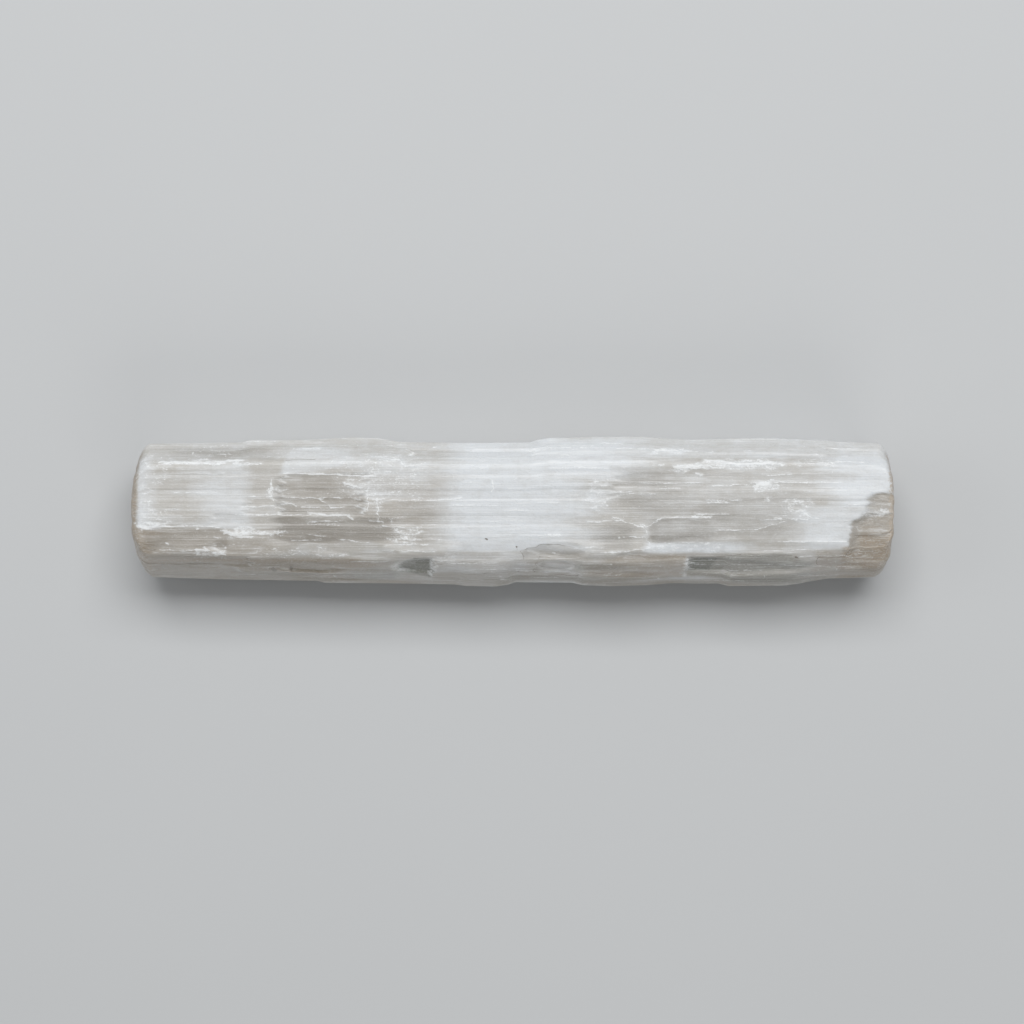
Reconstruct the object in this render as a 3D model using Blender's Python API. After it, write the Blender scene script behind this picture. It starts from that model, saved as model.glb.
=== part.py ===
"""A raw selenite blade (satin spar, a fibrous gypsum), lying on its flattest side.

It grew as one piece, so it is one solid. Its fibres run along X, so it splits into long
straight strips, and each strip has snapped off at its own levels. The section is a worn
nine-sided prism that follows a plan outline. Broken plates and shallow chips are on the top
and the front bevel, the front corner of the right-hand end has split off in steps, and both
ends are blunt and grainy.

Sizes are in millimetres here and become metres in build_mesh. The origin is under the
middle of the blade, on the surface that it lies on; X runs along it, Z is up.
"""

import math

import bmesh
import bpy
import numpy as np
from mathutils import noise

NODE = "selenite_blade"
MM = 0.001

# Driving dimensions
LENGTH = 151.6
WIDTH = 29.8
HEIGHT = 21.4
ROUND_LEFT = 4.7  # depth of the dome at the left end
ROUND_RIGHT = 3.9  # depth of the dome at the right end
BLUNT_LEFT = 2.0  # the ends' plan shape: 2 is an ellipse, and more is squarer
BLUNT_RIGHT = 4.0
END_STEEPNESS = 2.2  # how much blunter the ends are from the side than from above
ARRIS_WEAR = 0.40  # how far the long edges are rounded

# The section's corners (across, up), from the rear side's top over the blade and back
SECTION = [
    (14.9, 17.2),  # rear side to rear strip
    (9.8, 20.5),  # rear strip to top
    (-8.4, 21.2),  # top to upper bevel
    (-12.8, 17.0),  # upper bevel to lower bevel
    (-14.9, 11.6),  # lower bevel to front side
    (-13.7, 3.0),  # front side to front foot
    (-11.4, 0.0),  # front foot to base
    (11.9, 0.0),  # base to rear foot
    (14.0, 2.8),  # rear foot to rear side
]
UPPER_CORNERS = 5  # how many of them, from the first, are seen from above

# The plan outline (along, across): the rear edge and the front edge
REAR_EDGE = [
    (-71.6, 13.6), (-53.4, 13.9), (-51.2, 14.4), (-40.4, 14.4), (-31.4, 14.9),
    (-26.4, 14.7), (-22.0, 14.0), (-6.4, 13.7), (3.8, 13.8), (5.2, 14.3),
    (7.4, 14.7), (25.6, 14.9), (31.0, 14.5), (35.6, 14.3), (49.6, 14.7),
    (57.0, 14.3), (62.0, 14.2), (64.2, 13.9), (71.6, 13.6),
]
FRONT_EDGE = [
    (-71.0, -13.2), (-58.4, -13.6), (-38.8, -13.9), (-37.2, -14.3), (-23.4, -14.4),
    (-11.4, -14.6), (-9.2, -14.9), (-3.2, -15.0), (-0.6, -14.6), (0.8, -14.1),
    (12.2, -14.2), (14.2, -14.7), (20.0, -14.9), (26.8, -14.7), (32.0, -14.3),
    (41.6, -14.4), (43.4, -14.9), (54.6, -14.8), (57.8, -14.3), (63.2, -13.4),
    (72.0, -13.2),
]

# Where it splits along the fibres: places across it on the upper faces, and distances
# round the section, from its first corner, on the sides and underneath
SPLITS_ABOVE = [13.2, 11.6, 7.4, 4.6, 2.4, -0.7, -2.9, -5.2, -9.6, -11.6, -13.4]
SPLITS_BELOW = [
    38.6, 41.2, 43.4, 51.5, 55.0, 58.8, 63.2,
    66.4, 69.6, 77.2, 79.8, 81.6, 84.4, 87.2,
]
SPLIT_WIDTH = 0.30  # the run of the riser between two strips

# Where strips may have snapped across the fibres
SNAPS = [
    -66.0, -58.6, -52.0, -45.2, -37.0, -29.0, -24.0, -20.0, -15.8, -8.0,
    -1.0, 4.4, 12.4, 20.6, 28.0, 34.4, 42.0, 49.0, 56.0, 62.0,
]
SNAP_WIDTH = 0.35  # the run of the riser at a snap
STRIP_SEED = 3
UPPER_LEVELS = (-0.11, 0.055)  # between which the strips of the upper faces lie
LOWER_LEVELS = (-0.75, 0.15)

# Plates seen from above: along from and to, across from and to, lift
PLATES = [
    (-15.8, 34.4, -9.6, -13.4, 0.30),  # raised plate on the front bevel
    (-80.0, -52.0, -9.6, -11.6, -0.25),  # slab lost at the left front
    (-20.0, 4.4, 13.2, 11.6, -0.35),  # sliver lost along the rear edge
    (-45.2, -29.0, 7.4, -0.7, -0.22),  # sunken window in the top
    (4.4, 62.0, 13.2, 11.6, 0.20),  # splinter left on the rear edge
]
# Lens-shaped scars in the front arris and bevel: centre, half sizes, depth, along from and to
CHIPS = [
    (9.4, -8.3, 6.6, 1.9, 0.30, 2.6, 17.0),
    (8.6, -11.2, 4.2, 1.9, 0.28, 4.6, 13.0),
    (-61.0, -12.0, 5.0, 1.3, 0.15, -67.0, -55.0),
    (-15.8, -11.3, 8.4, 2.7, 0.50, -26.0, -15.8),  # broken off at the raised plate's left end
    (34.4, -11.3, 24.0, 2.7, 0.50, 34.4, 60.0),  # and at its right end
]

# The stepped break at the right end: where it begins (across, along), and its treads
# (across, depth)
BREAK_EDGE = [
    (7.5, 74.6), (4.2, 73.4), (3.8, 70.9), (3.0, 69.4), (-0.3, 68.7),
    (-1.4, 68.0), (-2.3, 66.2), (-7.2, 65.8), (-9.4, 65.2),
]
BREAK_TREADS = [
    (4.75, 0.0), (4.45, 0.45), (-0.55, 0.55), (-0.85, 1.0),
    (-5.05, 1.1), (-5.35, 1.55), (-9.0, 1.2), (-11.5, 0.0),
]
BREAK_SLOPE = 2.2

UNEVENNESS = (90.0, 8.0, 0.25)  # length, width and height of the slow swells in its faces
ARRIS_CHIPS = (11.0, 3.0, 0.50)  # length, width and depth of the worn places on the arrises
BASE_FLATNESS = 0.30  # fills the base's shallowest scars, so that most of it lies flat
GRAIN_SIZE = 3.0  # of the broken fibre ends on both end faces
GRAIN_DEPTH = 0.5

# Where the mesh has extra rings for the break, and its rings on an end, of the rim's size
BREAK_RINGS = [64.6, 65.8, 68.2, 69.4, 70.7]
DOME_SCALES = [0.985, 0.95, 0.86, 0.72, 0.54, 0.32, 0.14]

COLOUR = (0.80, 0.80, 0.785, 1.0)
ROUGHNESS = 0.42
TRANSMISSION = 0.25
GYPSUM_IOR = 1.52


def smooth(t):
    """0 below 0, 1 above 1, and a soft rise between."""
    t = np.clip(t, 0.0, 1.0)
    return t * t * (3.0 - 2.0 * t)


def fibre_noise(x, y, z, length, width, seed):
    """Noise from -1 to 1, drawn out along the fibres."""
    points = np.stack([x / length + 11.7 * seed, y / width, z / width], -1)
    values = [noise.noise(p) for p in points.reshape(-1, 3)]
    return 2.0 * np.array(values).reshape(points.shape[:-1])


def corner_girths():
    """The distance round the section at each corner, closing at the first."""
    corners = np.array(SECTION + SECTION[:1])
    runs = np.hypot(*np.diff(corners, axis=0).T)
    return np.concatenate([[0.0], np.cumsum(runs)])


def girth_at(across):
    """The distance round the section of a place seen from above."""
    rims = np.array([c[0] for c in SECTION[:UPPER_CORNERS]])
    return np.interp(-np.asarray(across, float), -rims, corner_girths()[:UPPER_CORNERS])


def section_points(girths):
    """Points of the worn section and its outward normals, at distances round it."""
    marks = corner_girths()
    corners = np.array(SECTION + SECTION[:1])
    fine = np.linspace(0.0, marks[-1], 1440, endpoint=False)
    y = np.interp(fine, marks, corners[:, 0])
    z = np.interp(fine, marks, corners[:, 1])
    reach = np.arange(-16, 17) * (fine[1] - fine[0])
    weights = np.exp(-0.5 * (reach / ARRIS_WEAR) ** 2)
    weights /= weights.sum()
    worn = []
    for line in (y, z):
        wrapped = np.concatenate([line[-16:], line, line[:16]])
        worn.append(np.convolve(wrapped, weights, "valid"))
    dy, dz = (np.gradient(line) for line in worn)
    size = np.hypot(dy, dz)
    fields = [worn[0], worn[1], dz / size, -dy / size]
    return [np.interp(girths, fine, field, period=marks[-1]) for field in fields]


def split_girths():
    """The distances round the section at which it splits along the fibres."""
    return np.concatenate([girth_at(SPLITS_ABOVE), SPLITS_BELOW])


def strip_relief(x, girth):
    """Straight strips between the splits, each snapped off at its own levels."""
    draw = np.random.default_rng(STRIP_SEED)
    whole = corner_girths()[-1]
    hidden_from = corner_girths()[UPPER_CORNERS - 1]
    splits = split_girths()
    relief = np.zeros_like(x)
    for left, right in zip(splits, np.append(splits[1:], splits[0] + whole)):
        snaps = np.sort(draw.choice(SNAPS, draw.integers(1, 5), replace=False))
        low, high = UPPER_LEVELS if left < hidden_from else LOWER_LEVELS
        levels = draw.uniform(low, high, len(snaps) + 1)
        level = np.full_like(x, levels[0])
        for snap, change in zip(snaps, np.diff(levels)):
            level += change * smooth((x - snap) / SNAP_WIDTH + 0.5)
        off = np.mod(girth - (left + right) / 2 + whole / 2, whole) - whole / 2
        relief += level * smooth(((right - left) / 2 - abs(off)) / SPLIT_WIDTH + 0.5)
    return relief


def outline_damping(girth):
    """Small where the blade is widest, so that the plan outline stays as it is given."""
    marks = corner_girths()
    damping = np.ones_like(girth)
    for mark in (marks[0], marks[UPPER_CORNERS - 1], marks[-1]):
        damping -= 0.8 * np.exp(-(((girth - mark) / 1.8) ** 2))
    return damping


def plate_relief(x, girth):
    """Broken plates: level areas a little above or below what is round them."""
    relief = np.zeros_like(x)
    for start, end, rear, front, lift in PLATES:
        first, last = girth_at([rear, front])
        along = smooth((x - start) / SNAP_WIDTH + 0.5) * smooth((end - x) / SNAP_WIDTH + 0.5)
        across = smooth((girth - first) / SPLIT_WIDTH + 0.5)
        across *= smooth((last - girth) / SPLIT_WIDTH + 0.5)
        relief += lift * along * across
    for middle, across, half_length, half_width, depth, start, end in CHIPS:
        reach = np.hypot((x - middle) / half_length, (girth - girth_at(across)) / half_width)
        along = smooth((x - start) / SNAP_WIDTH + 0.5) * smooth((end - x) / SNAP_WIDTH + 0.5)
        relief -= depth * along * smooth(3.0 * (1.0 - reach))
    return relief


def arris_wear(x, y, z, girth):
    """How deep the two arrises of the front bevel are worn, here more and there less."""
    length, width, depth = ARRIS_CHIPS
    worn = depth * smooth(1.2 * fibre_noise(x, y, z, length, width, 33) + 0.6)
    bevel = corner_girths()[2:4]
    return worn * sum(np.exp(-(((girth - mark) / 1.8) ** 2)) for mark in bevel)


def break_relief(x, y):
    """The right end's front corner, where layers have split off in steps."""
    treads = np.array(BREAK_TREADS)
    edge = np.array(BREAK_EDGE)
    depth = np.interp(-y, -treads[:, 0], treads[:, 1])
    begins = np.interp(-y, -edge[:, 0], edge[:, 1])
    return -depth * smooth((x - begins) / BREAK_SLOPE)


def ring(x, girths, scale=1.0, facing=0.0):
    """One ring of points at x. On an end it is drawn in by scale, and facing is 1 at the tip."""
    y, z, across, up = section_points(girths)
    station = np.full_like(y, x)
    length, width, height = UNEVENNESS
    relief = height * fibre_noise(station, y, z, length, width, 0) + strip_relief(station, girths)
    relief = relief * outline_damping(girths) + plate_relief(station, girths)
    relief -= arris_wear(station, y, z, girths)
    relief += BASE_FLATNESS * smooth(1.0 - z / 1.2)
    relief *= 1.0 - smooth((facing - 0.3) / 0.45)
    relief += break_relief(station, y) * smooth((z - 13.0) / 3.0)
    rear = np.interp(x, *np.array(REAR_EDGE).T) / SECTION[0][0]
    front = np.interp(x, *np.array(FRONT_EDGE).T) / SECTION[UPPER_CORNERS - 1][0]
    y = y * np.where(y > 0, rear, front) + relief * across
    z = np.maximum(z + relief * up, 0.0)
    y = y * scale
    z = HEIGHT / 2 + (z - HEIGHT / 2) * (1.0 - (1.0 - scale) ** END_STEEPNESS)
    grain = fibre_noise(0.0 * y, y, z, 1.0, GRAIN_SIZE, math.copysign(5.0, x))
    x = station + math.copysign(GRAIN_DEPTH * facing, -x) * (0.5 + 0.5 * grain)
    return np.stack([x, y, z], -1)


def column_girths():
    """The mesh's points round the section: one at each corner and two at each split."""
    splits = split_girths()
    sides = [splits - SPLIT_WIDTH / 2, splits + SPLIT_WIDTH / 2]
    return np.sort(np.concatenate([corner_girths()[:-1], *sides]))


def stations():
    """Where the rings go: two at each snap, one between snaps, and more at the break."""
    first = -LENGTH / 2 + ROUND_LEFT
    last = LENGTH / 2 - ROUND_RIGHT
    marks = [first, *SNAPS, last]
    between = [(left + right) / 2 for left, right in zip(marks, marks[1:])]
    walls = [snap + side * SNAP_WIDTH / 2 for snap in SNAPS for side in (-1, 1)]
    return sorted([first, *between, *walls, *BREAK_RINGS, last])


def dome(rim, depth, bluntness, girths):
    """The rings on one end, from its rim towards its tip."""
    made = []
    for scale in DOME_SCALES:
        facing = math.sqrt(1.0 - scale**bluntness)
        x = rim + math.copysign(depth * facing, rim)
        made.append(ring(x, girths, scale, facing))
    return made


def rings():
    """Every ring from the left tip to the right tip, sized to the driving dimensions."""
    girths = column_girths()
    body = stations()
    left = dome(body[0], ROUND_LEFT, BLUNT_LEFT, girths)
    right = dome(body[-1], ROUND_RIGHT, BLUNT_RIGHT, girths)
    points = np.array(left[::-1] + [ring(x, girths) for x in body] + right)
    low, high = points.min((0, 1)), points.max((0, 1))
    size = np.array([LENGTH, WIDTH, HEIGHT])
    points = (points - (low + high) / 2) * size / (high - low)
    points[..., 2] += HEIGHT / 2
    return points


def build_mesh():
    """Bridges the rings with faces and closes each end at its tip."""
    points = rings() * MM
    columns = points.shape[1]
    bm = bmesh.new()
    grid = [[bm.verts.new(p) for p in row] for row in points]
    for left, right in zip(grid, grid[1:]):
        for n in range(columns):
            m = (n + 1) % columns
            bm.faces.new((left[n], left[m], right[m], right[n]))
    for row in (grid[0], grid[-1]):
        tip = bm.verts.new(sum((v.co for v in row[1:]), row[0].co.copy()) / columns)
        for n in range(columns):
            bm.faces.new((row[n], row[(n + 1) % columns], tip))
    bmesh.ops.recalc_face_normals(bm, faces=bm.faces)
    mesh = bpy.data.meshes.new(NODE)
    bm.to_mesh(mesh)
    bm.free()
    mesh.shade_smooth()
    mesh.set_sharp_from_angle(angle=math.radians(30))
    return mesh


def selenite_material():
    """Milky, slightly see-through gypsum."""
    material = bpy.data.materials.new("selenite")
    material.use_nodes = True
    shader = material.node_tree.nodes["Principled BSDF"]
    shader.inputs["Base Color"].default_value = COLOUR
    shader.inputs["Roughness"].default_value = ROUGHNESS
    shader.inputs["Metallic"].default_value = 0.0
    shader.inputs["IOR"].default_value = GYPSUM_IOR
    shader.inputs["Transmission Weight"].default_value = TRANSMISSION
    return material


def main():
    for old in list(bpy.data.objects):
        bpy.data.objects.remove(old)
    mesh = build_mesh()
    mesh.materials.append(selenite_material())
    blade = bpy.data.objects.new(NODE, mesh)
    bpy.context.scene.collection.objects.link(blade)


main()
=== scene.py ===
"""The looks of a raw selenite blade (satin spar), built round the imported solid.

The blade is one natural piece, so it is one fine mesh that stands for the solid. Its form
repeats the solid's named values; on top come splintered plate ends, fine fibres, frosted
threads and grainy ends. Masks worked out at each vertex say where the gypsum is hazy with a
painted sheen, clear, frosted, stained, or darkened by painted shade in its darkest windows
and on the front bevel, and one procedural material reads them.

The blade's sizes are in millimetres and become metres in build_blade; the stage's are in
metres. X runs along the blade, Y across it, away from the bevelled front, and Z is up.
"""

import math

import bpy
import numpy as np
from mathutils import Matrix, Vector, noise


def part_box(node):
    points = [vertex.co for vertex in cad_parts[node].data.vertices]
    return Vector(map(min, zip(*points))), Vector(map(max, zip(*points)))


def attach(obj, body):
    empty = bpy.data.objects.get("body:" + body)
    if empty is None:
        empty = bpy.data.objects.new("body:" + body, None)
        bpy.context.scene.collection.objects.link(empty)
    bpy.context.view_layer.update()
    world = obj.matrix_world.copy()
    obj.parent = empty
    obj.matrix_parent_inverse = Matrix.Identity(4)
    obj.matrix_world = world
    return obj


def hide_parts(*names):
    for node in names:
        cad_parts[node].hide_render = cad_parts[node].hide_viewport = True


NODE = "selenite_blade"
MM = 0.001

# The section's corners (across, up), from the rear side's top over the blade and back
SECTION = [
    (14.9, 17.2),  # rear side to rear strip
    (9.8, 20.5),  # rear strip to top
    (-8.4, 21.2),  # top to upper bevel
    (-12.8, 17.0),  # upper bevel to lower bevel
    (-14.9, 11.6),  # lower bevel to front side
    (-13.7, 3.0),  # front side to front foot
    (-11.4, 0.0),  # front foot to base
    (11.9, 0.0),  # base to rear foot
    (14.0, 2.8),  # rear foot to rear side
]
UPPER_CORNERS = 5  # how many of them, from the first, are seen from above
ARRIS_WEAR = 0.40
SECTION_STEPS = 1440  # points round the section at which its wear is worked out
WEAR_STEPS = 16  # how many of them the wear reaches, each way

# The plan outline (along, across): the rear edge and the front edge
REAR_EDGE = [
    (-71.6, 13.6), (-53.4, 13.9), (-51.2, 14.4), (-40.4, 14.4), (-31.4, 14.9),
    (-26.4, 14.7), (-22.0, 14.0), (-6.4, 13.7), (3.8, 13.8), (5.2, 14.3),
    (7.4, 14.7), (25.6, 14.9), (31.0, 14.5), (35.6, 14.3), (49.6, 14.7),
    (57.0, 14.3), (62.0, 14.2), (64.2, 13.9), (71.6, 13.6),
]
FRONT_EDGE = [
    (-71.0, -13.2), (-58.4, -13.6), (-38.8, -13.9), (-37.2, -14.3), (-23.4, -14.4),
    (-11.4, -14.6), (-9.2, -14.9), (-3.2, -15.0), (-0.6, -14.6), (0.8, -14.1),
    (12.2, -14.2), (14.2, -14.7), (20.0, -14.9), (26.8, -14.7), (32.0, -14.3),
    (41.6, -14.4), (43.4, -14.9), (54.6, -14.8), (57.8, -14.3), (63.2, -13.4),
    (72.0, -13.2),
]

# Where it splits along the fibres: places across it on the upper faces, and distances
# round the section, from its first corner, on the sides and underneath
SPLITS_ABOVE = [13.2, 11.6, 7.4, 4.6, 2.4, -0.7, -2.9, -5.2, -9.6, -11.6, -13.4]
SPLITS_BELOW = [
    38.6, 41.2, 43.4, 51.5, 55.0, 58.8, 63.2,
    66.4, 69.6, 77.2, 79.8, 81.6, 84.4, 87.2,
]
SPLIT_WIDTH = 0.30  # the run of the riser between two strips

# Where strips may have snapped across the fibres
SNAPS = [
    -66.0, -58.6, -52.0, -45.2, -37.0, -29.0, -24.0, -20.0, -15.8, -8.0,
    -1.0, 4.4, 12.4, 20.6, 28.0, 34.4, 42.0, 49.0, 56.0, 62.0,
]
SNAP_WIDTH = 0.35  # the run of the riser at a snap
STRIP_SEED = 3
UPPER_LEVELS = (-0.11, 0.055)  # between which the strips of the upper faces lie
LOWER_LEVELS = (-0.75, 0.15)

# Plates seen from above: along from and to, across from and to, lift
PLATES = [
    (-15.8, 34.4, -9.6, -13.4, 0.30),  # raised plate on the front bevel
    (-80.0, -52.0, -9.6, -11.6, -0.25),  # slab lost at the left front
    (-20.0, 4.4, 13.2, 11.6, -0.35),  # sliver lost along the rear edge
    (-45.2, -29.0, 7.4, -0.7, -0.22),  # sunken window in the top
    (4.4, 62.0, 13.2, 11.6, 0.20),  # splinter left on the rear edge
]
# Lens-shaped scars in the front arris and bevel: centre, half sizes, depth, along from and to
CHIPS = [
    (9.4, -8.3, 6.6, 1.9, 0.30, 2.6, 17.0),
    (8.6, -11.2, 4.2, 1.9, 0.28, 4.6, 13.0),
    (-61.0, -12.0, 5.0, 1.3, 0.15, -67.0, -55.0),
    (-15.8, -11.3, 8.4, 2.7, 0.50, -26.0, -15.8),  # broken off at the raised plate's left end
    (34.4, -11.3, 24.0, 2.7, 0.50, 34.4, 60.0),  # and at its right end
]

# The stepped break at the right end: where it begins (across, along), and its treads
# (across, depth)
BREAK_EDGE = [
    (7.5, 74.6), (4.2, 73.4), (3.8, 70.9), (3.0, 69.4), (-0.3, 68.7),
    (-1.4, 68.0), (-2.3, 66.2), (-7.2, 65.8), (-9.4, 65.2),
]
BREAK_TREADS = [
    (4.75, 0.0), (4.45, 0.45), (-0.55, 0.55), (-0.85, 1.0),
    (-5.05, 1.1), (-5.35, 1.55), (-9.0, 1.2), (-11.5, 0.0),
]
BREAK_SLOPE = 2.2
BREAK_HEIGHTS = (13.0, 16.0)  # between which it sets in
BREAK_SHOWS = 0.45  # the depth from which its face shows whole

UNEVENNESS = (90.0, 8.0, 0.25)  # length, width and height of the slow swells in its faces
OUTLINE_DAMPING = 0.8  # how much the relief lacks where the blade is widest
ARRIS_CHIPS = (11.0, 3.0, 0.50)  # length, width and depth of the worn places on the arrises
ARRIS_REACH = 1.8  # how far round the section an arris reaches
BASE_FLATNESS = 0.30  # fills the base's shallowest scars, so that most of it lies flat
BASE_HEIGHT = 1.2  # up to which it fills them
RELIEF_FADE = (0.3, 0.75)  # the relief fades out where an end faces out this much
GRAIN_SIZE = 3.0  # of the broken fibre ends on both end faces
GRAIN_DEPTH = 0.5

ROUND_LEFT = 4.7
ROUND_RIGHT = 3.9
BLUNT_LEFT = 2.0
BLUNT_RIGHT = 4.0
END_STEEPNESS = 2.2

# The fine surface, which the solid leaves out, begins with splinters that have their own snaps
SPLINTERS = 110
SPLINTER_SEED = 12
SPLINTER_WIDTHS = (0.3, 1.7)
SPLINTER_LEVELS = (-0.055, 0.040)
UPPER_CALM = 0.93  # how much of the splinters and fibres the upper faces lack
CALM_HEIGHTS = (9.0, 12.0)  # between which the upper faces begin
END_ROUNDING = 0.7  # a ring is a whole ellipse where it is drawn in this much
FINE_GRAIN = (1.8, 0.30)  # size and depth of the finer broken fibre ends
GRAIN_SEED = 5.0

# Noises, each with the strength, length, width and seed of its parts
FIBRES = [(0.036, 160.0, 0.8, 20), (0.026, 90.0, 0.4, 21), (0.018, 9.0, 0.7, 22)]
JAGS = [(1.1, 1.0, 0.7, 3)]  # how far a snapped strip's fibres reach past each other
BREAK_GRAIN = [(0.10, 1.6, 0.9, 31)]  # the roughness of the stepped break
BENDS_ALONG = [(0.35, 1.4, 1.0, 46)]  # how far threads and cracks stray
BENDS_ROUND = [(0.10, 1.4, 0.6, 49)]
TEARS_ALONG = [(1.4, 2.6, 0.8, 47)]  # how far the edges of frosted areas stray
TEARS_ROUND = [(0.5, 2.2, 1.0, 48)]
WANDER = [(0.25, 9.0, 2.2, 41), (0.12, 7.0, 0.6, 43)]  # how far soft edges stray
FEATHER = [(0.20, 1.0, 1.5, 44), (0.16, 1.0, 0.5, 45)]  # the same from fibre to fibre
VIEW_WAVES = [(4.0, 18.0, 2.5, 50)]  # how unevenly the marks seen from above end below
CLOUDS = [(1.0, 26.0, 7.0, 42)]  # haze, windows and frost where no mark is seen
TANS = [(1.0, 34.0, 5.0, 51)]  # and stain there

# The fine mesh: how close its columns are above and below, where the close ones are, and
# its rings
UPPER_SPACING = 0.24
LOWER_SPACING = 0.60
PAST_REAR = 2.0  # how far down the rear side they begin
SHORT_OF_FOOT = 4.0  # and how far above the front foot they end
BODY_RINGS = 322
DOME_RINGS = 30

# Where the marks seen from above count: heights between which they set in, and how far the
# ends face out where they stop
SEEN_HEIGHTS = (11.0, 14.0)  # from here on, a place is measured on the plan
VIEW_HEIGHTS = (10.0, 14.0)
VIEW_ENDS = (0.8, 1.0)
# What shows elsewhere: each mask's strength, and the noise's level at which it starts
UNSEEN = {"haze_and_sheen": (0.7, -0.1), "clear": (0.7, 0.0), "stain_and_shade": (0.5, -0.3), "frosted": (0.5, 0.1)}
LEDGE_STEPS = (0.0392, 0.1617)  # the relief's change, ring to ring, where snapped edges show
EDGE_BEND = 0.3  # how much of the bends the crisp edges of plates have
HAZE_AND_SHEEN_WANDER = 0.5  # how much of the wander and the feather the haze and painted sheen have
HAZE_AND_SHEEN_FEATHER = 0.35

# Haze and painted sheen: white, partly veils inside the gypsum and partly a broad glow of
# satin sheen painted where the fibres catch the light. Along from and to, across from and
# to, softness at the left, at the right and at the sides, strength
HAZE_AND_SHEEN = [
    (-73.5, -70.5, 11.0, -4.5, 0.8, 4.0, 2.0, 0.60),
    (-60.5, -51.4, 9.6, -3.6, 12.0, 4.0, 1.5, 0.62),
    (-34.0, -26.0, 12.8, 8.4, 9.0, 12.0, 1.0, 0.50),
    (-30.0, -13.0, 11.4, 2.4, 8.0, 8.0, 2.0, 0.45),
    (-14.0, 15.0, 14.9, -8.0, 13.0, 17.0, 1.5, 0.96),
    (-12.0, 26.0, 14.9, 6.0, 12.0, 18.0, 3.0, 0.95),
    (-72.0, -14.0, 14.9, 9.9, 3.0, 6.0, 1.5, 0.28),
    (62.0, 76.0, 11.4, 0.0, 13.0, 1.5, 2.0, 0.95),
    (56.0, 70.0, 1.0, -7.6, 9.0, 1.0, 1.5, 0.80),
    (24.0, 62.0, 11.0, -6.0, 6.0, 8.0, 3.0, 0.24),
    (5.6, 76.0, 14.9, 10.4, 6.0, 1.0, 1.0, 0.60),
    (26.2, 46.0, -6.0, -8.4, 2.0, 10.0, 0.7, 0.80),
    (5.6, 14.0, -9.4, -12.2, 2.0, 6.0, 1.0, 0.55),
    (-15.4, 4.0, -8.4, -12.4, 2.0, 7.0, 1.5, 0.60),
    (16.0, 34.0, -8.4, -12.0, 6.0, 0.6, 1.5, 0.30),
    (56.0, 68.0, -8.0, -13.0, 6.0, 2.0, 1.5, 0.25),
]
# Plates of haze and painted sheen with crisp edges: strength, softness of the edge, and
# corners (along, across)
HAZE_AND_SHEEN_PLATES = [
    (0.55, 0.7, [
        (-45.6, 7.3), (-43.4, 12.6), (-36.0, 13.0), (-29.0, 12.0), (-31.0, 9.6), (-38.0, 7.6),
    ]),
]
# Clear windows, seen as a warmer, darker grey, given in the same way as the haze
CLEAR = [
    (-21.4, -15.4, 2.0, -6.6, 3.0, 5.0, 1.5, 0.30),
    (-72.4, -55.4, -3.4, -7.2, 2.0, 0.5, 0.6, 0.60),
    (16.6, 23.6, -2.4, -7.6, 5.0, 3.0, 1.5, 0.50),
    (27.2, 39.6, -1.6, -6.2, 1.5, 3.0, 0.8, 0.65),
    (21.6, 37.6, 8.4, -0.6, 7.0, 8.0, 2.0, 0.40),
    (-45.4, -22.4, -1.2, -6.0, 4.0, 6.0, 1.0, 1.00),
    (37.6, 55.6, 4.8, -5.6, 6.0, 8.0, 3.0, 0.40),
    (-66.4, -47.4, 12.6, 10.2, 4.0, 4.0, 1.0, 0.50),
    (-75.0, -42.0, -9.0, -14.9, 2.0, 8.0, 1.0, 0.80),
    (-42.0, -20.0, -9.6, -13.4, 6.0, 4.0, 1.0, 0.90),
    (17.0, 34.4, -10.6, -12.8, 6.0, 1.0, 1.0, 0.80),
    (57.0, 66.0, -9.6, -13.6, 4.0, 1.0, 1.0, 0.50),
]
# Clear windows with crisp edges, given in the same way as the hazy plates
CLEAR_PLATES = [
    (0.50, 0.5, [
        (-46.6, 1.8), (-46.6, 6.6), (-45.8, 6.9), (-36.6, 6.9), (-33.0, 6.4),
        (-30.8, 4.0), (-28.9, 2.8), (-28.3, -0.4), (-30.0, -1.8), (-45.0, -0.6),
    ]),
    (0.45, 0.4, [
        (2.4, -9.3), (2.3, -8.0), (3.0, -7.3), (4.4, -7.1), (5.3, -6.6), (7.3, -6.5),
        (9.3, -6.6), (11.3, -7.0), (13.1, -7.6), (14.6, -8.2), (11.0, -8.7), (3.6, -8.6),
    ]),
    (0.40, 0.5, [(4.5, -12.2), (4.6, -10.6), (5.3, -9.1), (6.6, -9.1), (6.4, -12.2)]),
]
# The deepest windows, where a layer has come away, with painted shade: grey-green, as dark
# as if a dark ground showed through them, given in the same way
DEEP_SHADE_PLATES = [
    (0.95, 0.4, [
        (-22.2, -12.2), (-22.3, -10.9), (-21.7, -10.3), (-20.6, -9.6), (-19.0, -9.2), (-17.5, -9.5),
        (-15.8, -9.7), (-15.8, -11.5), (-15.3, -12.3), (-16.0, -13.2), (-18.0, -13.0), (-20.4, -12.4),
    ]),
    (0.95, 0.6, [
        (34.5, -9.7), (38.7, -9.2), (41.0, -9.5), (39.8, -10.8), (39.2, -12.4), (34.6, -12.3),
    ]),
    (0.50, 1.4, [
        (34.5, -9.7), (40.2, -9.0), (45.3, -8.6), (52.0, -8.4), (55.4, -9.0), (59.0, -10.4),
        (57.0, -11.8), (46.4, -12.2), (40.0, -12.5), (34.6, -12.4),
    ]),
]
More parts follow.
